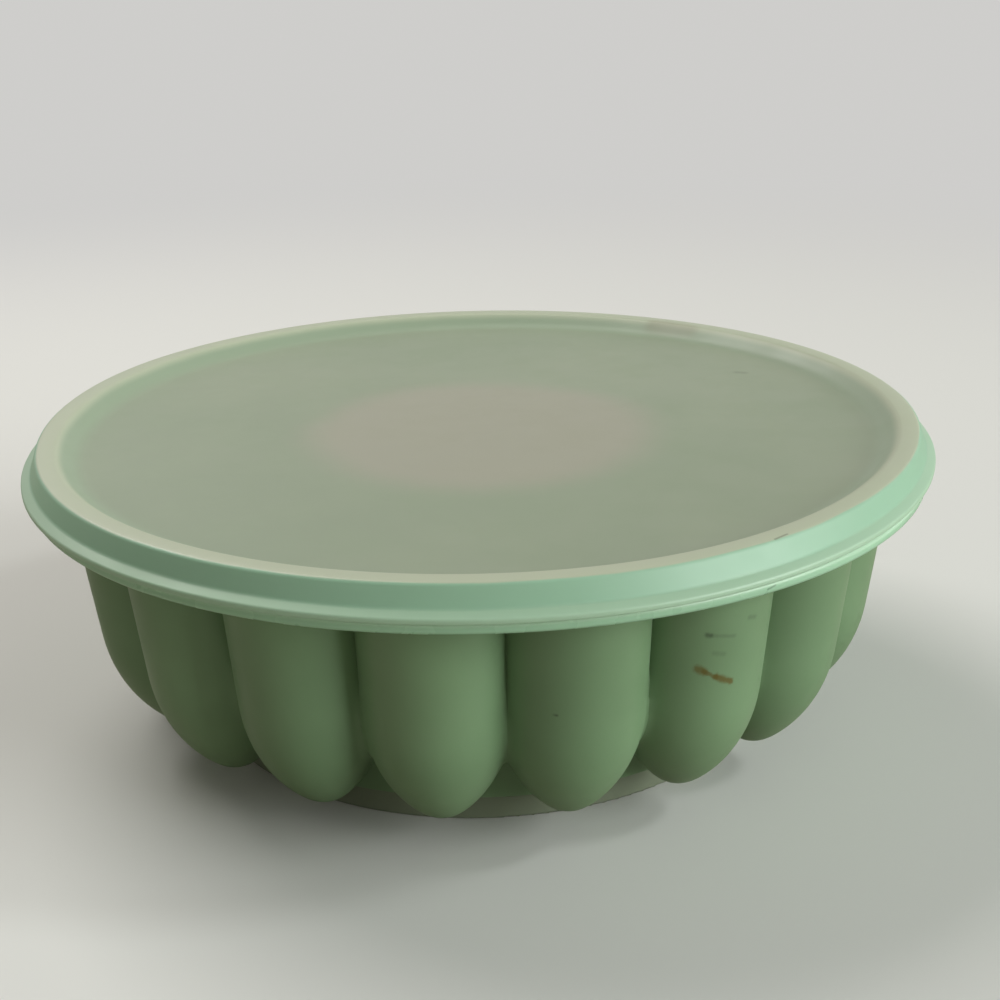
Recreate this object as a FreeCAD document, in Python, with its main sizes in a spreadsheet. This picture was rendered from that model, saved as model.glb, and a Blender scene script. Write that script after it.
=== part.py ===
import FreeCAD, Part
import Sketcher
import os
import re
from FreeCAD import Vector

doc = FreeCAD.newDocument("JellyMould")

# Driving dimensions, in millimetres and degrees. Heights are above the surface that the mould stands on.
SIZES = {
    # The rim of the shell: a flat flange with an upright lip, set in from the flange's edge
    "rim_radius": 118.8,
    "rim_height": 68.9,
    "rim_thickness": 2.8,
    "rim_round": 0.9,
    "lip_inset": 4.2,
    "lip_height": 6.1,
    "lip_round": 0.6,
    # The flutes of the shell: round columns that lean out and end in a pointed round nose
    "shell_wall": 2.0,
    "flute_count": 18,
    "flute_radius": 17.6,
    "flute_nose": 30.0,
    "flute_tip_radius": 9.0,
    "flute_inset": 34.5,
    "flute_tip_height": 7.4,
    "flute_lean": 7.2,
    # The core of the shell, in distances in or out from the flutes' tips. It shows as plain facets between the
    # noses, widens above its waist and stays just inside the valleys from its shoulder up.
    "core_low_inset": 7.0,
    "core_waist_inset": 2.8,
    "core_waist_height": 24.0,
    "core_shoulder_outset": 8.2,
    "core_shoulder_height": 31.0,
    "core_top_outset": 13.1,
    "collar_inset": 10.8,
    # The lid, which presses on over the lip
    "lid_wall": 1.5,
    "lid_clearance": 0.3,
    "panel_depth": 3.8,
    "panel_round": 1.8,
    "bead_round": 1.1,
    "bead_spread": 1.6,
    "skirt_rise": 2.4,
    "skirt_overhang": 1.7,
    "skirt_edge": 1.1,
    "skirt_round": 0.4,
    # The base, whose rim and plug close the collar, and the tower that stands on it
    "base_thickness": 1.6,
    "base_clearance": 0.3,
    "base_rim_wall": 2.0,
    "base_rim_height": 6.6,
    "base_round": 0.7,
    "plug_wall": 1.4,
    "plug_height": 3.8,
    "channel_width": 23.5,
    "tower_wall": 1.6,
    "tower_taper": 4.0,
    "tower_lid_gap": 0.5,
    "tower_round": 3.0,
}

sheet = doc.addObject("Spreadsheet::Sheet", "Sizes")
for row, (name, value) in enumerate(SIZES.items(), start=1):
    sheet.set("A%d" % row, name)
    sheet.set("B%d" % row, str(value))
    sheet.setAlias("B%d" % row, name)
doc.recompute()

# Radii and heights of the shell, each worked out from the sizes above
RIM_TOP = "(rim_height + rim_thickness)"
LIP_RADIUS = "(rim_radius - lip_inset)"
LIP_INNER = "(rim_radius - lip_inset - shell_wall)"
LIP_TOP = "(rim_height + rim_thickness + lip_height)"
FLUTE_REACH = "(rim_radius - flute_inset)"
CORE_LOW_RADIUS = "(%s - core_low_inset)" % FLUTE_REACH
CORE_WAIST_RADIUS = "(%s - core_waist_inset)" % FLUTE_REACH
CORE_SHOULDER_RADIUS = "(%s + core_shoulder_outset)" % FLUTE_REACH
CORE_TOP_RADIUS = "(%s + core_top_outset)" % FLUTE_REACH
MID_RIM = "(rim_height + rim_thickness / 2)"
ABOVE_FLUTES = "(%s + flute_tip_height + rim_radius)" % RIM_TOP
CORE_LOW = "(base_rim_height + base_clearance)"
CAVITY_LOW = "(%s + shell_wall)" % CORE_LOW
COLLAR_RADIUS = "(%s - collar_inset)" % FLUTE_REACH
COLLAR_INNER = "(%s - shell_wall)" % COLLAR_RADIUS
COLLAR_LOW = "(base_thickness + base_clearance)"

# The lid stands one clearance off the lip and the rim
BEAD_TOP = "(%s + lid_clearance + lid_wall)" % LIP_TOP
BEAD_OUTER = "(%s + lid_clearance + lid_wall)" % LIP_RADIUS
BEAD_INNER = "(%s - lid_clearance - lid_wall)" % LIP_INNER
BEAD_FOOT_RADIUS = "(%s + bead_spread)" % BEAD_OUTER
PANEL_TOP = "(%s - panel_depth)" % BEAD_TOP
PANEL_LOW = "(%s - lid_wall)" % PANEL_TOP
SKIRT_LOW = "(%s + lid_clearance)" % RIM_TOP
SKIRT_TOP = "(%s + skirt_rise)" % SKIRT_LOW
SKIRT_RADIUS = "(rim_radius + skirt_overhang)"

# The base fits round the collar and into it, and the tower ends one gap below the lid
BASE_INNER = "(%s + base_clearance)" % COLLAR_RADIUS
BASE_RADIUS = "(%s + base_rim_wall)" % BASE_INNER
PLUG_RADIUS = "(%s - base_clearance)" % COLLAR_INNER
PLUG_TOP = "(base_thickness + plug_height)"
TOWER_LOW_RADIUS = "(%s - channel_width)" % COLLAR_RADIUS
TOWER_TOP_RADIUS = "(%s - tower_taper)" % TOWER_LOW_RADIUS
TOWER_TOP = "(%s - tower_lid_gap)" % PANEL_LOW


def bound(text):
    """The same expression with each named size read from the sheet."""
    return re.sub(r"[a-z_]+", lambda word: "Sizes." + word[0] if word[0] in SIZES else word[0], text)


def worth(text):
    """The present value of an expression."""
    return float(sheet.evalExpression(bound(text)))


def new_piece(label):
    body = doc.addObject("PartDesign::Body", label)
    body.Label = label
    return body


def origin_feature(body, role):
    return next(item for item in body.Origin.OriginFeatures if item.Role == role)


def upright_sketch(body, name):
    sketch = body.newObject("Sketcher::SketchObject", name)
    sketch.AttachmentSupport = (origin_feature(body, "XZ_Plane"), [""])
    sketch.MapMode = "FlatFace"
    return sketch


def dimension(sketch, kind, text, *place):
    """A dimension of a sketch, bound to the sheet."""
    mark = sketch.addConstraint(Sketcher.Constraint(kind, *place, worth(text)))
    sketch.setExpression("Constraints[%d]" % mark, bound(text))


def section(body, name, corners):
    """A closed half section of straight edges: each corner is a radius and a height."""
    sketch = upright_sketch(body, name)
    points = [Vector(worth(radius), worth(height), 0) for radius, height in corners]
    for i, point in enumerate(points):
        sketch.addGeometry(Part.LineSegment(point, points[(i + 1) % len(points)]), False)
    for i in range(len(points)):
        sketch.addConstraint(Sketcher.Constraint("Coincident", i, 2, (i + 1) % len(points), 1))
    for i, (radius, height) in enumerate(corners):
        for kind, axis, text in (("DistanceX", -2, radius), ("DistanceY", -1, height)):
            if text == "0":
                sketch.addConstraint(Sketcher.Constraint("PointOnObject", i, 1, axis))
            else:
                dimension(sketch, kind, text, -1, 1, i, 1)
    return sketch


def flute_section(body, name, inset):
    """Half of one flute on its leaning axis: a round tip, an ogive nose and a straight side.

    The half that faces the mould's middle is drawn, so that its seam lies inside the shell.
    """
    sketch = upright_sketch(body, name)
    side = "(flute_radius - %s)" % inset
    nose = "(flute_nose - %s)" % inset
    tip = "(flute_tip_radius - %s)" % inset
    length = "(%s + flute_radius)" % RIM_TOP
    across = worth(side)
    high = worth(nose)
    tip_radius = worth(tip)
    ogive_radius = (across ** 2 + (high - tip_radius) ** 2 - tip_radius ** 2) / (2 * (across - tip_radius))
    tip_centre = Vector(0, tip_radius, 0)
    ogive_centre = Vector(ogive_radius - across, high, 0)
    shoulder = Vector(-across, high, 0)
    meeting = tip_centre + (tip_centre - ogive_centre).normalize() * tip_radius
    tip_middle = tip_centre + (meeting - Vector(0, 2 * tip_radius, 0)).normalize() * tip_radius
    ogive_middle = ogive_centre + (meeting + shoulder - ogive_centre * 2).normalize() * ogive_radius
    end = Vector(-across, worth(length), 0)
    sketch.addGeometry(Part.Arc(Vector(0, 0, 0), tip_middle, meeting), False)
    sketch.addGeometry(Part.Arc(meeting, ogive_middle, shoulder), False)
    sketch.addGeometry(Part.LineSegment(shoulder, end), False)
    sketch.addGeometry(Part.LineSegment(end, Vector(0, end.y, 0)), False)
    sketch.addGeometry(Part.LineSegment(Vector(0, end.y, 0), Vector(0, 0, 0)), False)
    sketch.addConstraint(Sketcher.Constraint("Coincident", 0, 2, -1, 1))
    sketch.addConstraint(Sketcher.Constraint("PointOnObject", 0, 3, -2))
    sketch.addConstraint(Sketcher.Constraint("Tangent", 0, 1, 1, 2))
    sketch.addConstraint(Sketcher.Constraint("Tangent", 1, 1, 2, 1))
    sketch.addConstraint(Sketcher.Constraint("Vertical", 2))
    sketch.addConstraint(Sketcher.Constraint("Coincident", 2, 2, 3, 1))
    sketch.addConstraint(Sketcher.Constraint("Horizontal", 3))
    sketch.addConstraint(Sketcher.Constraint("PointOnObject", 3, 2, -2))
    sketch.addConstraint(Sketcher.Constraint("Coincident", 3, 2, 4, 1))
    sketch.addConstraint(Sketcher.Constraint("Coincident", 4, 2, -1, 1))
    dimension(sketch, "Radius", tip, 0)
    dimension(sketch, "DistanceX", side, 2, 1, -1, 1)
    dimension(sketch, "DistanceY", nose, -1, 1, 2, 1)
    dimension(sketch, "DistanceY", length, -1, 1, 3, 1)
    reach = "%s + %s * sin(flute_lean)" % (FLUTE_REACH, inset)
    sketch.setExpression(".AttachmentOffset.Base.x", bound(reach))
    sketch.setExpression(".AttachmentOffset.Base.y", bound("flute_tip_height + %s * cos(flute_lean)" % inset))
    sketch.setExpression(".AttachmentOffset.Rotation.Angle", bound("0 - flute_lean"))
    return sketch


def turn(body, name, sketch, kind="PartDesign::Revolution"):
    """A full turn of a half section about the upright axis of its sketch."""
    feature = body.newObject(kind, name)
    feature.Profile = sketch
    feature.ReferenceAxis = (sketch, ["V_Axis"])
    feature.Angle = 360.0
    body.Tip = feature
    doc.recompute()
    return feature


def round_the_ring(body, name, feature):
    """Equal copies of one flute all round the mould's axis."""
    pattern = body.newObject("PartDesign::PolarPattern", name)
    pattern.Originals = [feature]
    pattern.Axis = (origin_feature(body, "Z_Axis"), [""])
    pattern.Angle = 360.0
    pattern.setExpression("Occurrences", bound("flute_count"))
    body.Tip = pattern
    doc.recompute()
    return pattern


def rounded(body, name, size, circles):
    """A fillet on whole circular edges, each found by its radius and height."""
    base = body.Tip
    wanted = [(worth(radius), worth(height)) for radius, height in circles]
    names = []
    for i, edge in enumerate(base.Shape.Edges, start=1):
        if edge.Degenerated or not isinstance(edge.Curve, Part.Circle):
            continue
        curve = edge.Curve
        if abs(curve.Center.x) + abs(curve.Center.y) > 1e-4:
            continue
        for radius, height in wanted:
            if abs(curve.Radius - radius) < 1e-4 and abs(curve.Center.z - height) < 1e-4:
                names.append("Edge%d" % i)
    if len(names) != len(wanted):
        raise RuntimeError("%s: %d edges for %d circles" % (name, len(names), len(wanted)))
    fillet = body.newObject("PartDesign::Fillet", name)
    fillet.Base = (base, names)
    fillet.setExpression("Radius", bound(size))
    body.Tip = fillet
    doc.recompute()
    return fillet


# The fluted shell, one moulding. A solid core and its ring of flutes are built first and cut level under the
# rim. The rim is added, and then the same core and flutes, one wall smaller, are taken out from inside.
mould_body = new_piece("mould_body")

turn(mould_body, "Core", section(mould_body, "CoreSection", [
    ("0", COLLAR_LOW),
    (COLLAR_RADIUS, COLLAR_LOW),
    (COLLAR_RADIUS, CORE_LOW),
    (CORE_LOW_RADIUS, CORE_LOW),
    (CORE_WAIST_RADIUS, "core_waist_height"),
    (CORE_SHOULDER_RADIUS, "core_shoulder_height"),
    (CORE_TOP_RADIUS, RIM_TOP),
    ("0", RIM_TOP),
]))
flute = turn(mould_body, "Flute", flute_section(mould_body, "FluteSection", "0"))
round_the_ring(mould_body, "Flutes", flute)
turn(mould_body, "LevelTop", section(mould_body, "LevelTopSection", [
    ("0", MID_RIM),
    (ABOVE_FLUTES, MID_RIM),
    (ABOVE_FLUTES, ABOVE_FLUTES),
    ("0", ABOVE_FLUTES),
]), "PartDesign::Groove")
turn(mould_body, "Rim", section(mould_body, "RimSection", [
    ("0", "rim_height"),
    ("rim_radius", "rim_height"),
    ("rim_radius", RIM_TOP),
    (LIP_RADIUS, RIM_TOP),
    (LIP_RADIUS, LIP_TOP),
    (LIP_INNER, LIP_TOP),
    (LIP_INNER, RIM_TOP),
    ("0", RIM_TOP),
]))
rounded(mould_body, "RimRounding", "rim_round", [("rim_radius", "rim_height"), ("rim_radius", RIM_TOP)])
rounded(mould_body, "LipRounding", "lip_round", [(LIP_RADIUS, LIP_TOP), (LIP_INNER, LIP_TOP)])
turn(mould_body, "Cavity", section(mould_body, "CavitySection", [
    ("0", "0"),
    (COLLAR_INNER, "0"),
    (COLLAR_INNER, CAVITY_LOW),
    ("(%s - shell_wall)" % CORE_LOW_RADIUS, CAVITY_LOW),
    ("(%s - shell_wall)" % CORE_WAIST_RADIUS, "(core_waist_height + shell_wall)"),
    ("(%s - shell_wall)" % CORE_SHOULDER_RADIUS, "(core_shoulder_height + shell_wall)"),
    ("(%s - shell_wall)" % CORE_TOP_RADIUS, RIM_TOP),
    ("(%s - shell_wall)" % CORE_TOP_RADIUS, LIP_TOP),
    ("0", LIP_TOP),
]), "PartDesign::Groove")
flute_cavity = turn(mould_body, "FluteCavity", flute_section(mould_body, "FluteCavitySection", "shell_wall"),
                    "PartDesign::Groove")
round_the_ring(mould_body, "FluteCavities", flute_cavity)

# The lid, one moulding: a sunk panel, a flat-topped bead that fits over the lip, and a skirt over the rim.
lid = new_piece("lid")
turn(lid, "Seal", section(lid, "SealSection", [
    ("0", PANEL_TOP),
    (BEAD_INNER, PANEL_TOP),
    (BEAD_INNER, BEAD_TOP),
    (BEAD_OUTER, BEAD_TOP),
    (BEAD_FOOT_RADIUS, SKIRT_TOP),
    (SKIRT_RADIUS, "(%s + skirt_edge)" % SKIRT_LOW),
    (SKIRT_RADIUS, SKIRT_LOW),
    ("(%s - lid_wall)" % BEAD_FOOT_RADIUS, SKIRT_LOW),
    ("(%s + lid_clearance)" % LIP_RADIUS, "(%s + lid_wall)" % SKIRT_TOP),
    ("(%s + lid_clearance)" % LIP_RADIUS, "(%s + lid_clearance)" % LIP_TOP),
    ("(%s - lid_clearance)" % LIP_INNER, "(%s + lid_clearance)" % LIP_TOP),
    ("(%s - lid_clearance)" % LIP_INNER, PANEL_LOW),
    ("0", PANEL_LOW),
]))
rounded(lid, "BeadRounding", "bead_round", [(BEAD_INNER, BEAD_TOP), (BEAD_OUTER, BEAD_TOP)])
rounded(lid, "PanelRounding", "panel_round", [(BEAD_INNER, PANEL_TOP)])
rounded(lid, "UndersideRounding", "(panel_round + lid_wall)", [("(%s - lid_clearance)" % LIP_INNER, PANEL_LOW)])
rounded(lid, "SkirtRounding", "skirt_round", [(SKIRT_RADIUS, "(%s + skirt_edge)" % SKIRT_LOW)])

# The base and tower, one moulding, hollow from below. The collar of the shell stands in the groove between the
# base's rim and its plug, and the tapered tower makes the hole of the ring.
centre_tower = new_piece("centre_tower")
turn(centre_tower, "Tower", section(centre_tower, "TowerSection", [
    ("(%s - tower_wall)" % TOWER_LOW_RADIUS, "0"),
    (BASE_RADIUS, "0"),
    (BASE_RADIUS, "base_rim_height"),
    (BASE_INNER, "base_rim_height"),
    (BASE_INNER, "base_thickness"),
    (PLUG_RADIUS, "base_thickness"),
    (PLUG_RADIUS, PLUG_TOP),
    ("(%s - plug_wall)" % PLUG_RADIUS, PLUG_TOP),
    ("(%s - plug_wall)" % PLUG_RADIUS, "base_thickness"),
    (TOWER_LOW_RADIUS, "base_thickness"),
    (TOWER_TOP_RADIUS, TOWER_TOP),
    ("0", TOWER_TOP),
    ("0", "(%s - tower_wall)" % TOWER_TOP),
    ("(%s - tower_wall)" % TOWER_TOP_RADIUS, "(%s - tower_wall)" % TOWER_TOP),
]))
rounded(centre_tower, "TowerRounding", "tower_round", [(TOWER_TOP_RADIUS, TOWER_TOP)])
rounded(centre_tower, "TowerHollowRounding", "(tower_round - tower_wall)",
        [("(%s - tower_wall)" % TOWER_TOP_RADIUS, "(%s - tower_wall)" % TOWER_TOP)])
rounded(centre_tower, "BaseRounding", "base_round", [(BASE_RADIUS, "0"), (BASE_RADIUS, "base_rim_height")])

pieces = [mould_body, lid, centre_tower]
for piece in pieces:
    piece.Placement = FreeCAD.Placement(Vector(0, 0, 0), FreeCAD.Rotation())
doc.recompute()

for item in doc.Objects:
    if "Invalid" in item.State or "Error" in item.State:
        raise RuntimeError("%s has failed" % item.Name)
for piece in pieces:
    if piece.Shape.isNull() or not piece.Shape.isValid() or len(piece.Shape.Solids) != 1:
        raise RuntimeError("%s is not one valid solid" % piece.Label)

os.makedirs("parts", exist_ok=True)
for piece in pieces:
    piece.Shape.exportStep("parts/%s.step" % piece.Label)
    print("%s: %.1f cm3, %d faces" % (piece.Label, piece.Shape.Volume / 1000, len(piece.Shape.Faces)))
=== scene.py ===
import math

import bpy
from mathutils import Matrix, Vector


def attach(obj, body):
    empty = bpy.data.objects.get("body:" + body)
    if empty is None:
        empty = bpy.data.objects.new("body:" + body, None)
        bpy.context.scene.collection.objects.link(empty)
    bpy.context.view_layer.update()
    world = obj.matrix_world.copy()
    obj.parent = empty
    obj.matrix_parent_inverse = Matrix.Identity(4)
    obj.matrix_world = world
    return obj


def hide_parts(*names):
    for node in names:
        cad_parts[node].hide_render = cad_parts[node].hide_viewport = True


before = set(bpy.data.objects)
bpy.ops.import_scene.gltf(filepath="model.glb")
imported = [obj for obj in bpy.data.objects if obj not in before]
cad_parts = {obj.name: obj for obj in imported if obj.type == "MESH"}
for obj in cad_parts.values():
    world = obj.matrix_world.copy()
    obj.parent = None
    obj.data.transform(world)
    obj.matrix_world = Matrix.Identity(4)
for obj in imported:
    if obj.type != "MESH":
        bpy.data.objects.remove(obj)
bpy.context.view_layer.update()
bpy.ops.object.select_all(action="DESELECT")

# The camera stands in front of the mould and a little above it, and looks past its middle through a long
# lens. Its roll and its aim are those of a picture taken by hand. Distances are in metres, and pixels are those
# of a picture 1000 across.
PICTURE_WIDTH = 1000
FOCAL_PIXELS = 1600
RIM_CENTRE = Vector((0, 0, 0.0696))
RIM_CENTRE_PIXEL = (479, 451)
CAMERA_DISTANCE = 0.438
CAMERA_ELEVATION = math.radians(18.14)
CAMERA_ROLL = math.radians(1.38)
CAMERA_NEAREST = 0.01
MOULD_TURN = math.radians(2.9)

camera_data = bpy.data.cameras.new("camera")
camera_data.lens = camera_data.sensor_width * FOCAL_PIXELS / PICTURE_WIDTH
camera_data.clip_start = CAMERA_NEAREST
camera = bpy.data.objects.new("camera", camera_data)
bpy.context.collection.objects.link(camera)
half = PICTURE_WIDTH / 2
across, down = RIM_CENTRE_PIXEL
aim = Vector(((across - half) / FOCAL_PIXELS, (half - down) / FOCAL_PIXELS, -1))
pan = aim.rotation_difference(Vector((0, 0, -1))).to_matrix()
tilt = math.radians(90) - CAMERA_ELEVATION
upright = Matrix.Rotation(-MOULD_TURN, 3, "Z") @ Matrix.Rotation(tilt, 3, "X")
camera.matrix_world = (upright @ Matrix.Rotation(-CAMERA_ROLL, 3, "Z") @ pan).to_4x4()
camera.location = RIM_CENTRE + upright @ Vector((0, 0, CAMERA_DISTANCE))
bpy.context.scene.camera = camera

# The fluted shell is one moulding of satin jade-green plastic, a little waxy, with a wall of 2 mm: a ring of
# eighteen leaning, round-nosed flutes, an open collar below, and a flat flange with an upright lip above. Its
# surface is drawn over forms of the flutes and of the core between them, once outside and once inside.
FLUTE_COUNT = 18
FLUTE_RADIUS = 0.0176
FLUTE_NOSE = 0.030
FLUTE_TIP_RADIUS = 0.009
FLUTE_TIP = Vector((0.0843, 0, 0.0074))
FLUTE_LEAN = math.radians(7.2)
FLUTE_LENGTH = 0.090
TIP_STEPS = 12
BOW_STEPS = 23
FLUTE_STEPS = 240
SHELL_WALL = 0.002
CORE_BOTTOM = 0.0069
CORE = ((0, CORE_BOTTOM), (0.0773, CORE_BOTTOM), (0.0815, 0.0240), (0.0925, 0.0310), (0.0974, 0.0717),
        (0.0978, 0.0750))
RIM_BOTTOM = 0.0689
RIM_TOP = 0.0717
LIP_TOP = 0.0778
# Each corner of an outline has its radius, its height and the size of its fillet.
RIM_CORNERS = ((0.1130, RIM_BOTTOM, 0), (0.1188, RIM_BOTTOM, 0.0009), (0.1188, RIM_TOP, 0.0009),
               (0.1146, RIM_TOP, 0.0003), (0.1146, LIP_TOP, 0.0006), (0.1126, LIP_TOP, 0.0006),
               (0.1126, RIM_TOP, 0))
COLLAR_CORNERS = ((0.0735, CORE_BOTTOM, 0), (0.0735, 0.0019, 0.0004), (0.0715, 0.0019, 0.0004),
                  (0.0715, CORE_BOTTOM + SHELL_WALL, 0))
FILLET_STEPS = 3
COLUMNS = 720
# The bowl that is shrunk on to the forms is open below. It bends up by a quarter turn, with close rows where
# the noses turn under and wider ones after them, in degrees, and then it goes straight up.
BOWL_RADIUS = 0.0765
BOWL_BEND = 0.045
BOWL_MIDDLE = 0.0400
CLOSE_ROWS = 8
CLOSE_STEP = 1.25
WIDE_ROWS = 40
WIDE_STEP = 2
WALL_ROWS = 10
# The skin is softened between its floor and each of these ceilings in turn, so most where the valleys end.
SOFT_FLOOR = 0.0072
SOFT_CEILINGS = (0.044, 0.038, 0.034)
SOFT_FACTOR = 0.5
SOFT_TIMES = 2
# The open rings of edges that are bridged lie within these radii.
RIM_MOUTH = 0.1135
LIP_MOUTH = 0.1127
COLLAR_MOUTH = 0.0768
COLLAR_INNER_MOUTH = 0.0748
SAME_LEVEL = 0.00002
SAME_PLACE = 0.000002
CREASE_ANGLE = math.radians(32)


def drawn_line(name, points):
    """A new piece that is one line of edges, drawn from its first point to its last by extruding a vertex."""
    bpy.ops.object.select_all(action="DESELECT")
    bpy.ops.mesh.primitive_plane_add(size=0.001)
    piece = bpy.context.active_object
    piece.name = name
    bpy.ops.object.mode_set(mode="EDIT")
    bpy.ops.mesh.select_mode(type="VERT")
    bpy.ops.mesh.merge(type="CENTER")
    bpy.ops.transform.translate(value=points[0])
    for start, end in zip(points, points[1:]):
        bpy.ops.mesh.extrude_region_move(TRANSFORM_OT_translate={"value": end - start})
    bpy.ops.object.mode_set(mode="OBJECT")
    return piece


def spun(piece, steps, centre, axis):
    """Spins a line all round an axis, and joins where the turn closes."""
    bpy.ops.object.mode_set(mode="EDIT")
    bpy.ops.mesh.select_all(action="SELECT")
    bpy.ops.mesh.spin(steps=steps, angle=2 * math.pi, center=centre, axis=axis)
    bpy.ops.mesh.select_all(action="SELECT")
    bpy.ops.mesh.remove_doubles(threshold=SAME_PLACE)
    bpy.ops.mesh.normals_make_consistent(inside=False)
    bpy.ops.object.mode_set(mode="OBJECT")
    return piece


def filleted(corners):
    """The outline through some corners, with an arc of its own size at each."""
    spots = [Vector((r, z)) for r, z, size in corners]
    outline = []
    for i, (r, z, size) in enumerate(corners):
        if not size:
            outline.append((r, z))
            continue
        back = (spots[i - 1] - spots[i]).normalized()
        on = (spots[i + 1] - spots[i]).normalized()
        half = back.angle(on) / 2
        centre = spots[i] + (back + on).normalized() * size / math.sin(half)
        first = spots[i] + back * size / math.tan(half) - centre
        last = spots[i] + on * size / math.tan(half) - centre
        for step in range(FILLET_STEPS + 1):
            arm = first.lerp(last, step / FILLET_STEPS).normalized() * size
            outline.append(tuple(centre + arm))
    return outline


def turned(name, outline, steps=COLUMNS):
    """A piece turned about the mould's axis from an outline of radii and heights."""
    points = [Vector((r, 0, z)) for r, z in outline]
    return spun(drawn_line(name, points), steps, (0, 0, 0), (0, 0, 1))


def picked(piece, test):
    """Selects the vertices whose places pass a test, and leaves the piece in edit mode."""
    bpy.ops.object.mode_set(mode="OBJECT")
    bpy.ops.object.select_all(action="DESELECT")
    bpy.context.view_layer.objects.active = piece
    piece.select_set(True)
    bpy.ops.object.mode_set(mode="EDIT")
    bpy.ops.mesh.select_mode(type="VERT")
    bpy.ops.mesh.select_all(action="DESELECT")
    bpy.ops.object.mode_set(mode="OBJECT")
    for vertex in piece.data.vertices:
        vertex.select = test(vertex.co)
    bpy.ops.object.mode_set(mode="EDIT")


def everywhere(place):
    """The test that picks all of a piece."""
    return True


def joined(first, *others):
    """Joins pieces into the first of them."""
    bpy.ops.object.mode_set(mode="OBJECT")
    bpy.ops.object.select_all(action="DESELECT")
    for piece in (first, *others):
        piece.select_set(True)
    bpy.context.view_layer.objects.active = first
    bpy.ops.object.join()
    return first


def flute_outline(inset):
    """Half of a flute on its own axis: a round tip, a wider arc that flows from it and a straight side."""
    across = FLUTE_RADIUS - inset
    high = FLUTE_NOSE - inset
    tip = FLUTE_TIP_RADIUS - inset
    bow = (across ** 2 + (high - tip) ** 2 - tip ** 2) / (2 * (across - tip))
    meeting = math.atan2(tip - high, bow - across)
    bottom = -math.radians(90)
    outline = []
    for i in range(TIP_STEPS):
        angle = bottom + (meeting - bottom) * i / TIP_STEPS
        outline.append((tip * math.cos(angle), tip + tip * math.sin(angle)))
    for i in range(BOW_STEPS + 1):
        angle = meeting * (1 - i / BOW_STEPS)
        outline.append((across - bow + bow * math.cos(angle), high + bow * math.sin(angle)))
    return outline + [(across, FLUTE_LENGTH)]


def forms(inset):
    """The shapes that the shell is drawn over: a ring of whole flutes, and the core between them."""
    axis = Vector((math.sin(FLUTE_LEAN), 0, math.cos(FLUTE_LEAN)))
    side = Vector((math.cos(FLUTE_LEAN), 0, -math.sin(FLUTE_LEAN)))
    tip = FLUTE_TIP + axis * inset
    line = [tip + side * across + axis * along for across, along in flute_outline(inset)]
    flute = spun(drawn_line("flute_form", line), FLUTE_STEPS, tip, axis)
    flutes = []
    for i in range(FLUTE_COUNT):
        bpy.ops.object.select_all(action="DESELECT")
        flute.select_set(True)
        bpy.context.view_layer.objects.active = flute
        bpy.ops.object.duplicate()
        copy = bpy.context.active_object
        copy.rotation_euler.z = 2 * math.pi * i / FLUTE_COUNT
        bpy.ops.object.transform_apply(location=False, rotation=True, scale=False)
        flutes.append(copy)
    outline = [(r - inset if r else 0, z + inset) for r, z in CORE]
    core = turned("core_form", outline)
    bpy.data.objects.remove(flute)
    return joined(core, *flutes)


def skin(name, inset, top, coarseness):
    """A bowl of even columns and rows, shrunk on to the forms along its normals and softened low down."""
    low_radius = BOWL_RADIUS - inset
    middle = BOWL_MIDDLE + inset
    close = [-90 + CLOSE_STEP * i for i in range(0, CLOSE_ROWS, coarseness)]
    wide = [WIDE_STEP * (i - WIDE_ROWS) for i in range(0, WIDE_ROWS, coarseness)]
    line = []
    for angle in close + wide:
        spot = math.radians(angle)
        line.append((low_radius + BOWL_BEND * math.cos(spot), middle + BOWL_BEND * math.sin(spot)))
    for i in range(0, WALL_ROWS + 1, coarseness):
        line.append((low_radius + BOWL_BEND, middle + (top - middle) * i / WALL_ROWS))
    piece = turned(name, line)
    target = forms(inset)
    bpy.ops.object.select_all(action="DESELECT")
    piece.select_set(True)
    bpy.context.view_layer.objects.active = piece
    shrink = piece.modifiers.new("shrink", "SHRINKWRAP")
    shrink.target = target
    shrink.wrap_method = "PROJECT"
    shrink.use_negative_direction = True
    shrink.use_positive_direction = True
    bpy.ops.object.modifier_apply(modifier="shrink")
    bpy.data.objects.remove(target)
    for ceiling in SOFT_CEILINGS:
        picked(piece, lambda co: SOFT_FLOOR + inset < co.z < ceiling)
        bpy.ops.mesh.vertices_smooth(factor=SOFT_FACTOR, repeat=SOFT_TIMES)
    bpy.ops.object.mode_set(mode="OBJECT")
    return piece


def bridged(piece, level, within):
    """Joins two open rings of edges, on one level and within a radius, with a band of faces."""
    picked(piece, lambda co: abs(co.z - level) < SAME_LEVEL and co.xy.length < within)
    bpy.ops.mesh.select_mode(type="EDGE")
    bpy.ops.mesh.bridge_edge_loops()
    bpy.ops.object.mode_set(mode="OBJECT")


outside = skin("fluted_shell", 0, RIM_BOTTOM, 1)
rim = turned("rim", filleted(RIM_CORNERS))
shell = joined(outside, rim)
bridged(shell, RIM_BOTTOM, RIM_MOUTH)
collar = turned("collar", filleted(COLLAR_CORNERS))
shell = joined(shell, collar)
bridged(shell, CORE_BOTTOM, COLLAR_MOUTH)
inside = skin("inside", SHELL_WALL, RIM_TOP, 2)
picked(inside, everywhere)
bpy.ops.mesh.flip_normals()
bpy.ops.object.mode_set(mode="OBJECT")
shell = joined(shell, inside)
bridged(shell, RIM_TOP, LIP_MOUTH)
bridged(shell, CORE_BOTTOM + SHELL_WALL, COLLAR_INNER_MOUTH)
picked(shell, everywhere)
bpy.ops.mesh.remove_doubles(threshold=SAME_PLACE)
bpy.ops.mesh.normals_make_consistent(inside=False)
bpy.ops.object.mode_set(mode="OBJECT")
bpy.ops.object.shade_smooth_by_angle(angle=CREASE_ANGLE)
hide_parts("mould_body")
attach(shell, "shell")


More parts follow.
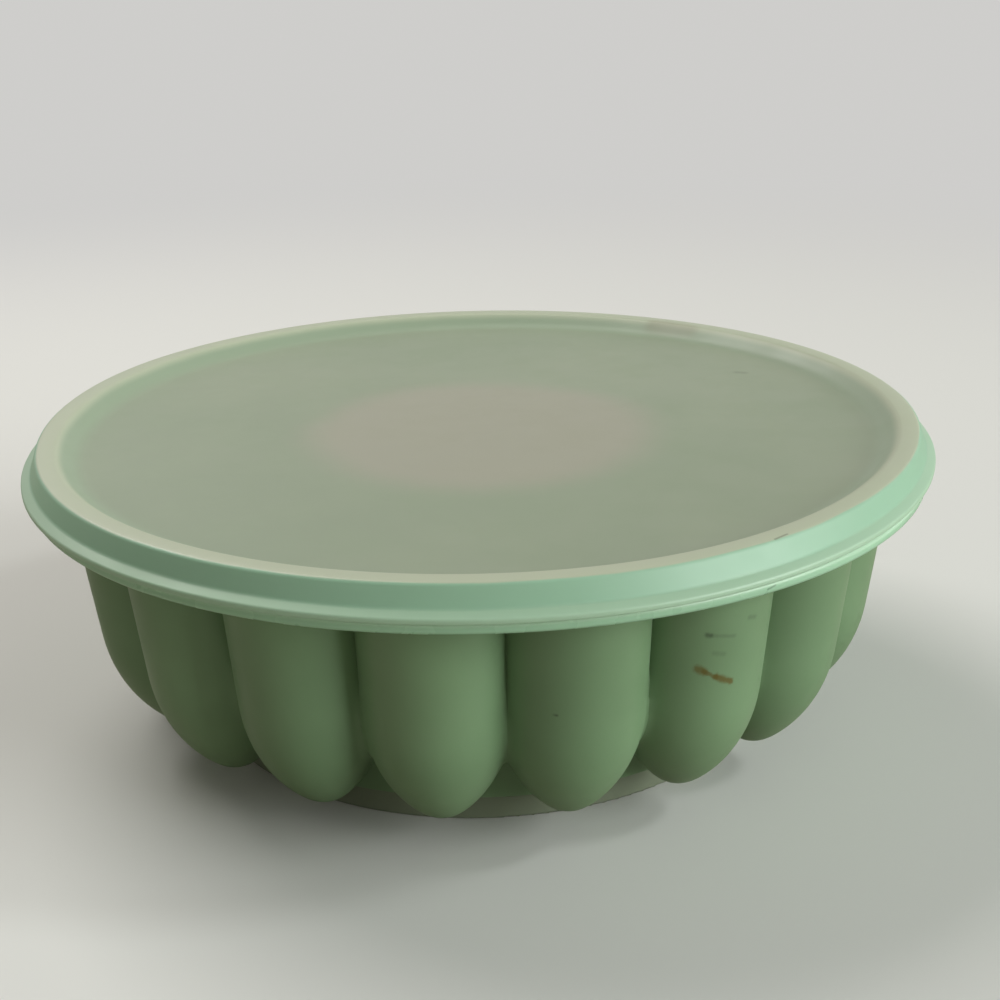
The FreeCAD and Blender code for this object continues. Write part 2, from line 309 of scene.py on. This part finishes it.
class Wire:
    """One output in a material's nodes. Operators on it add Math nodes, and node() adds any other node."""

    def __init__(self, tree, socket=None):
        self.tree = tree
        self.socket = socket

    def node(self, kind, settings=None, values=None, output=0):
        """Adds a node. Its settings are set first, and then the values or links of its inputs."""
        made = self.tree.nodes.new(kind)
        for name, setting in (settings or {}).items():
            setattr(made, name, setting)
        for name, value in (values or {}).items():
            if isinstance(value, Wire):
                self.tree.links.new(value.socket, made.inputs[name])
            else:
                made.inputs[name].default_value = value
        return Wire(self.tree, made.outputs[output]) if made.outputs else None

    def maths(self, operation, *terms):
        return self.node("ShaderNodeMath", {"operation": operation}, dict(enumerate(terms)))

    def __add__(self, other):
        return self.maths("ADD", self, other)

    def __radd__(self, other):
        return self.maths("ADD", other, self)

    def __sub__(self, other):
        return self.maths("SUBTRACT", self, other)

    def __rsub__(self, other):
        return self.maths("SUBTRACT", other, self)

    def __mul__(self, other):
        return self.maths("MULTIPLY", self, other)

    def __rmul__(self, other):
        return self.maths("MULTIPLY", other, self)


def places(tree):
    """The place of each surface point, in metres, in the mould's own frame."""
    return Wire(tree).node("ShaderNodeTexCoord", output="Object")


def noise(place, size, detail, seed):
    """Soft noise from 0 to 1, with lumps of the given size in metres."""
    return place.node("ShaderNodeTexNoise", {"noise_dimensions": "4D"},
                      {"Vector": place, "W": seed, "Scale": 1 / size, "Detail": detail})


def radius(place):
    """How far each point is from the mould's upright axis."""
    flat = place.node("ShaderNodeVectorMath", {"operation": "MULTIPLY"}, {0: place, 1: (1, 1, 0)})
    return flat.node("ShaderNodeVectorMath", {"operation": "LENGTH"}, {0: flat}, output="Value")


def height(place):
    """How high each point is above the surface that the mould stands on."""
    return place.node("ShaderNodeSeparateXYZ", {}, {"Vector": place}, output="Z")


def smooth_step(value, low, high):
    """0 where value is at low, 1 where it is at high, and a soft change between. Low may be above high."""
    return value.node("ShaderNodeMapRange", {"interpolation_type": "SMOOTHSTEP"},
                      {"Value": value, "From Min": low, "From Max": high})


def opaque(colour):
    """A colour as a socket takes it."""
    return (*colour, 1.0)


def mixed(share, first, second):
    """The first colour where share is 0, and the second where it is 1. They are the node's sockets 6 and 7."""
    return share.node("ShaderNodeMix", {"data_type": "RGBA"}, {0: share, 6: first, 7: second}, output=2)


def clouded(cloud, first, second):
    """Two shades of a plastic that run into each other as a soft noise does."""
    return mixed(smooth_step(cloud, CLOUD_FROM, CLOUD_TO), opaque(first), opaque(second))


def rubbed(place, size, seed):
    """1 in the patches that handling and washing have dulled."""
    return smooth_step(noise(place, size, 4.0, seed), RUBBED_FROM, RUBBED_TO)


def pebbled(grain, strength):
    """The slightly uneven surface that a moulding has, as a bump."""
    return grain.node("ShaderNodeBump", {}, {"Strength": strength, "Distance": PEBBLE_DEPTH, "Height": grain})


def distance_to_run(place, start, end):
    """How far each point is from a short straight run on the surface."""
    run = Vector(end) - Vector(start)
    away = place.node("ShaderNodeVectorMath", {"operation": "SUBTRACT"}, {0: place, 1: start})
    along = away.node("ShaderNodeVectorMath", {"operation": "DOT_PRODUCT"},
                      {0: away, 1: run / run.length_squared}, output="Value")
    held = along.node("ShaderNodeClamp", {}, {"Value": along})
    point = held.node("ShaderNodeVectorMath", {"operation": "SCALE"}, {0: run, "Scale": held})
    return away.node("ShaderNodeVectorMath", {"operation": "DISTANCE"}, {0: away, 1: point}, output="Value")


def plastic(colour, roughness, normal, constants):
    """A finish with one plastic shader. What varies is linked, and what doesn't is set on its socket."""
    shader = colour.node("ShaderNodeBsdfPrincipled", {}, {
        "Base Color": colour, "Roughness": roughness, "Normal": normal, **constants}, output="BSDF")
    shader.node("ShaderNodeOutputMaterial", {}, {"Surface": shader})


def new_material(name):
    """A material with no nodes yet."""
    material = bpy.data.materials.new(name)
    material.use_nodes = True
    material.node_tree.nodes.clear()
    return material


CLOUD_FROM, CLOUD_TO = 0.3, 0.7
RUBBED_FROM, RUBBED_TO = 0.35, 0.75
PEBBLE_DEPTH = 0.0002
# The flutes' green is the plastic darkened as painted shade, in two tones that cloud into each other.
SHELL_GREEN_SHADED = (0.165, 0.268, 0.142)
SHELL_GREEN_PALE_SHADED = (0.195, 0.312, 0.168)
# The rim is the shell's plastic painted brighter, as painted light.
RIM_GREEN_LIT = (0.36, 0.59, 0.40)
# A painted highlight along the rim's upper rounded edge.
RIM_EDGE_HIGHLIGHT = (0.50, 0.72, 0.52)
STAIN_BROWN = (0.125, 0.095, 0.015)
SMUDGE_GREY = (0.030, 0.045, 0.025)
SHELL_WAX = {"Subsurface Weight": 0.10, "Subsurface Radius": (0.004, 0.006, 0.004), "Subsurface Scale": 1.0,
             "IOR": 1.5}
# Where the shell's colour changes into the rim's, which is the same plastic painted brighter as painted light, and
# the rim's into a painted highlight along its upper edge.
RIM_FROM, RIM_TO = 0.1125, 0.1145
RIM_HIGHLIGHT_FROM, RIM_HIGHLIGHT_TO = 0.1170, 0.1180
RIM_HIGHLIGHT_LOW, RIM_HIGHLIGHT_HIGH = 0.0703, 0.0712
RIM_POLISH = 0.12
# Each mark is a run between two points, with its width and how strongly it shows. The streak is at its full
# strength over a share of its width, and the smudges are less ragged than it is.
STREAK = (((0.0430, -0.0951, 0.0473), (0.0443, -0.0951, 0.0466), 0.0016, 0.75),
          ((0.0443, -0.0951, 0.0466), (0.0475, -0.0948, 0.0449), 0.0008, 0.70),
          ((0.0475, -0.0948, 0.0450), (0.0510, -0.0934, 0.0430), 0.0013, 0.85))
SMUDGES = (((0.0449, -0.0961, 0.0560), (0.0456, -0.0961, 0.0559), 0.0011, 0.60),
           ((0.0460, -0.0960, 0.0559), (0.0513, -0.0950, 0.0550), 0.0008, 0.25),
           ((0.0466, -0.0957, 0.0512), (0.0490, -0.0951, 0.0507), 0.0010, 0.20),
           ((0.0548, -0.0938, 0.0588), (0.0564, -0.0928, 0.0584), 0.0010, 0.30))
SPECK = ((0.0094, -0.1045, 0.0423), (0.0104, -0.1043, 0.0424), 0.0006, 0.75)
RIM_SCRATCH = ((0.0559, -0.1049, 0.0702), (0.0578, -0.1040, 0.0707), 0.0004, 0.55)
RAGGED = 0.0013
STREAK_CORE = 0.2
SMUDGE_RAGGED = 0.5

jade = new_material("jade_plastic")
place = places(jade.node_tree)
out = radius(place)
# Painted shade: the flutes take a darker copy of the plastic's green.
green = clouded(noise(place, 0.045, 3.0, 0.0), SHELL_GREEN_SHADED, SHELL_GREEN_PALE_SHADED)
on_rim = smooth_step(out, RIM_FROM, RIM_TO)
# Painted light: the rim is painted brighter than the flutes.
green = mixed(on_rim, green, opaque(RIM_GREEN_LIT))
# Painted highlight: a paler band along the rim's upper edge, where it faces up.
near_rim_highlight = smooth_step(out, RIM_HIGHLIGHT_FROM, RIM_HIGHLIGHT_TO)
rim_highlight = smooth_step(height(place), RIM_HIGHLIGHT_LOW, RIM_HIGHLIGHT_HIGH) * near_rim_highlight
green = mixed(rim_highlight, green, opaque(RIM_EDGE_HIGHLIGHT))
wobble = (noise(place, RAGGED, 3.0, 4.0) - 0.5) * RAGGED
for start, end, width, depth in STREAK:
    mark = smooth_step(distance_to_run(place, start, end) + wobble, width, width * STREAK_CORE)
    green = mixed(mark * depth, green, opaque(STAIN_BROWN))
for start, end, width, depth in (*SMUDGES, SPECK, RIM_SCRATCH):
    mark = smooth_step(distance_to_run(place, start, end) + wobble * SMUDGE_RAGGED, width, 0.0)
    green = mixed(mark * depth, green, opaque(SMUDGE_GREY))
grain = noise(place, 0.0035, 2.0, 1.0) * 0.6 + noise(place, 0.0007, 1.0, 3.0) * 0.4
roughness = 0.36 + rubbed(place, 0.012, 2.0) * 0.12 - on_rim * RIM_POLISH
plastic(green, roughness, pebbled(grain, 0.12), SHELL_WAX)
shell.data.materials.clear()
shell.data.materials.append(jade)

# The lid is one moulding of thin, milky plastic: a sunk panel, a flat-topped bead that presses on over the lip
# of the shell, and a skirt over its rim. Green glows through the bead's wall, and the tower's top is a paler patch
# in the panel. The lid is pressed home at its front left and stands a little proud elsewhere.
PANEL_TOP = 0.0758
PANEL_UNDERSIDE = 0.0743
# The panel has a ring of edges every 8 mm, so that it bends softly where the lid is pressed home.
PANEL_RINGS = [0.008 * i for i in range(13)]
LID_CORNERS = (
    *((r, PANEL_TOP, 0) for r in PANEL_RINGS),
    (0.1068, PANEL_TOP, 0.0060), (0.1112, 0.0796, 0.0022), (0.1164, 0.0796, 0.0011), (0.1180, 0.0744, 0.0012),
    (0.1205, 0.0732, 0.0006), (0.1205, 0.0720, 0.0002), (0.1165, 0.0720, 0.0004), (0.1149, 0.0759, 0.0004),
    (0.1149, 0.0781, 0.0004), (0.1118, 0.0781, 0.0004), (0.1074, PANEL_UNDERSIDE, 0.0045),
    *((r, PANEL_UNDERSIDE, 0) for r in reversed(PANEL_RINGS)))
LID_COLUMNS = 480
LID_RISE = 0.0021
PRESSED_FROM = math.radians(-148)
PRESSED_TO = math.radians(-78)
PRESSED_OUTSIDE = 0.1085
PRESSED_REACH = 0.13
LID_MILK = (0.310, 0.370, 0.255)
LID_MILK_PALE = (0.338, 0.392, 0.275)
LID_CENTRE = (0.415, 0.400, 0.315)
# The slope inside the bead is tinted mint as a painted glow of light coming through the bead.
SLOPE_GLOW_GREEN = (0.350, 0.435, 0.305)
BEAD_CREAM = (0.520, 0.565, 0.415)
BEAD_GREEN = (0.355, 0.585, 0.410)
LEDGE_GREEN = (0.450, 0.650, 0.465)
MARK_GREY = (0.10, 0.11, 0.07)
TINT_BROWN = (0.26, 0.22, 0.13)
LID_MILKINESS = {"Transmission Weight": 0.15, "Subsurface Weight": 0.1,
                 "Subsurface Radius": (0.004, 0.005, 0.004), "Subsurface Scale": 1.0, "IOR": 1.5}
# The patch fades between two distances from its centre, and each band of colour begins between two radii.
PATCH_CENTRE = (0.001, -0.005, 0.077)
PATCH_OUTER, PATCH_INNER = 0.053, 0.036
PATCH_STRENGTH = 0.85
PATCH_WOBBLE = 0.02
BAND_WOBBLE = 0.0008
LID_BANDS = ((0.1030, 0.1080, SLOPE_GLOW_GREEN), (0.1092, 0.1112, BEAD_CREAM), (0.1158, 0.1163, BEAD_GREEN),
             (0.1178, 0.1186, LEDGE_GREEN))
LID_MARKS = (((0.0797, 0.0402, 0.0779), (0.0816, 0.0394, 0.0779), 0.0022, 0.35, MARK_GREY),
             ((0.0581, -0.1003, 0.0800), (0.0613, -0.0979, 0.0801), 0.0005, 0.60, MARK_GREY),
             ((0.0632, 0.0906, 0.0800), (0.0733, 0.0826, 0.0800), 0.0045, 0.35, TINT_BROWN))
LID_MARK_CORE = 0.1


def pressed_home(place):
    """The test that picks the stretch of the bead and the skirt that is pressed down."""
    return place.xy.length > PRESSED_OUTSIDE and PRESSED_FROM < math.atan2(place.y, place.x) < PRESSED_TO


lid = turned("pressed_lid", filleted(LID_CORNERS), LID_COLUMNS)
picked(lid, everywhere)
bpy.ops.transform.translate(value=(0, 0, LID_RISE))
picked(lid, pressed_home)
bpy.ops.transform.translate(value=(0, 0, -LID_RISE), use_proportional_edit=True,
                            proportional_edit_falloff="SMOOTH", proportional_size=PRESSED_REACH)
bpy.ops.object.mode_set(mode="OBJECT")
bpy.ops.object.shade_smooth_by_angle(angle=CREASE_ANGLE)

milk = new_material("milky_plastic")
place = places(milk.node_tree)
cloud = noise(place, 0.05, 3.0, 7.0)
pale = clouded(cloud, LID_MILK, LID_MILK_PALE)
from_centre = place.node("ShaderNodeVectorMath", {"operation": "DISTANCE"}, {0: place, 1: PATCH_CENTRE},
                         output="Value")
patch = smooth_step(from_centre + (cloud - 0.5) * PATCH_WOBBLE, PATCH_OUTER, PATCH_INNER)
pale = mixed(patch * PATCH_STRENGTH, pale, opaque(LID_CENTRE))
out = radius(place) + (noise(place, 0.02, 2.0, 9.0) - 0.5) * BAND_WOBBLE
# The first band is the painted glow on the slope inside the bead.
for start, end, colour in LID_BANDS:
    pale = mixed(smooth_step(out, start, end), pale, opaque(colour))
for start, end, width, depth, colour in LID_MARKS:
    far = distance_to_run(place, start, end) + (cloud - 0.5) * width
    mark = smooth_step(far, width, width * LID_MARK_CORE)
    pale = mixed(mark * depth, pale, opaque(colour))
grain = noise(place, 0.004, 2.0, 6.0) * 0.6 + noise(place, 0.0008, 1.0, 8.0) * 0.4
plastic(pale, 0.38 + rubbed(place, 0.015, 5.0) * 0.10, pebbled(grain, 0.10), LID_MILKINESS)
lid.data.materials.clear()
lid.data.materials.append(milk)
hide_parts("lid")
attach(lid, "lid")

# The base with its tower is one moulding of milky green plastic. It plugs the collar of the shell from below, and
# the hollow tower stands up the middle to just under the lid. It keeps the mesh of the solid, and its foot is
# painted darker than the tower as painted shade, though both are the one plastic.
# The foot's two tones are the milky plastic darkened as painted shade.
BASE_MILK_SHADED = (0.165, 0.193, 0.128)
BASE_MILK_PALE_SHADED = (0.190, 0.220, 0.150)
TOWER_MILK = (0.330, 0.350, 0.265)
SHADE_FADES_FROM, SHADE_FADES_TO = 0.008, 0.040
TOWER_STRENGTH = 0.9
BASE_MILKINESS = {"Subsurface Weight": 0.1, "Subsurface Radius": (0.005, 0.006, 0.004),
                  "Subsurface Scale": 1.0, "IOR": 1.5}

base_milk = new_material("base_plastic")
place = places(base_milk.node_tree)
pale = clouded(noise(place, 0.04, 3.0, 11.0), BASE_MILK_SHADED, BASE_MILK_PALE_SHADED)
# Painted shade: dark at the foot, fading into the tower's own colour higher up.
above_painted_shade = smooth_step(height(place), SHADE_FADES_FROM, SHADE_FADES_TO) * TOWER_STRENGTH
pale = mixed(above_painted_shade, pale, opaque(TOWER_MILK))
grain = noise(place, 0.003, 2.0, 13.0)
plastic(pale, 0.42 + rubbed(place, 0.012, 12.0) * 0.12, pebbled(grain, 0.10), BASE_MILKINESS)
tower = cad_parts["centre_tower"]
tower.material_slots[0].material = base_milk

# The floor is a wide, matt sheet that takes the mould's shadow and fades into an even pale background. To the
# camera it is pale, and the light that it throws back up at the mould is dimmer and warmer.
FLOOR_SIZE = 14.0
FLOOR_GREY = (0.76, 0.75, 0.73)
FLOOR_BOUNCE = (0.37, 0.34, 0.27)
FLOOR_ROUGHNESS = 0.7
BACKGROUND = (0.62, 0.615, 0.60)
FADE_FROM, FADE_TO = 0.30, 0.95

bpy.ops.mesh.primitive_plane_add(size=FLOOR_SIZE, location=(0, 0, 0))
floor = bpy.context.active_object
floor.name = "floor"
floor_matt = new_material("floor_matt")
place = places(floor_matt.node_tree)
camera_ray = place.node("ShaderNodeLightPath", output="Is Camera Ray")
floor_colour = mixed(camera_ray, opaque(FLOOR_BOUNCE), opaque(FLOOR_GREY))
near_floor = place.node("ShaderNodeBsdfPrincipled", {}, {
    "Base Color": floor_colour, "Roughness": FLOOR_ROUGHNESS}, output="BSDF")
far_floor = place.node("ShaderNodeEmission", {}, {"Color": opaque(BACKGROUND), "Strength": 1.0})
share = smooth_step(radius(place), FADE_FROM, FADE_TO) * camera_ray
surface = share.node("ShaderNodeMixShader", {}, {0: share, 1: near_floor, 2: far_floor})
surface.node("ShaderNodeOutputMaterial", {}, {"Surface": surface})
floor.data.materials.append(floor_matt)

# Plain studio light: a large soft lamp low on the right, where a window would be, a small one above it, a weak
# one at the front left, a wide one above the back left, and a dim, even surrounding. Each lamp has its place,
# its width in metres, its power in watts and its colour.
LAMPS = (("window_lamp", (1.99, -1.15, 0.77), 1.8, 56.0, (0.95, 1.0, 0.99)),
         ("high_lamp", (1.67, -0.30, 1.77), 0.35, 9.0, (0.95, 1.0, 0.99)),
         ("fill_lamp", (-1.4, -1.2, 0.9), 1.2, 1.0, (1.0, 0.97, 0.90)),
         ("top_lamp", (-0.66, 0.79, 1.30), 1.0, 15.0, (1.0, 0.98, 0.94)))
SURROUND_LIGHT = (0.145, 0.143, 0.118)

for name, spot, width, power, colour in LAMPS:
    lamp_data = bpy.data.lights.new(name, "AREA")
    lamp_data.shape = "SQUARE"
    lamp_data.size = width
    lamp_data.energy = power
    lamp_data.color = colour
    lamp = bpy.data.objects.new(name, lamp_data)
    bpy.context.collection.objects.link(lamp)
    lamp.location = spot
    lamp.rotation_euler = (RIM_CENTRE - Vector(spot)).to_track_quat("-Z", "Y").to_euler()

world = bpy.data.worlds.new("surround")
bpy.context.scene.world = world
world.use_nodes = True
world.node_tree.nodes.clear()
air = Wire(world.node_tree)
camera_ray = air.node("ShaderNodeLightPath", output="Is Camera Ray")
glossy_ray = air.node("ShaderNodeLightPath", output="Is Glossy Ray")
looked_at = air.maths("MAXIMUM", camera_ray, glossy_ray)
air_colour = mixed(looked_at, opaque(SURROUND_LIGHT), opaque(BACKGROUND))
glow = air.node("ShaderNodeBackground", {}, {"Color": air_colour, "Strength": 1.0})
air.node("ShaderNodeOutputWorld", {}, {"Surface": glow})

bpy.context.scene.view_settings.view_transform = "Standard"
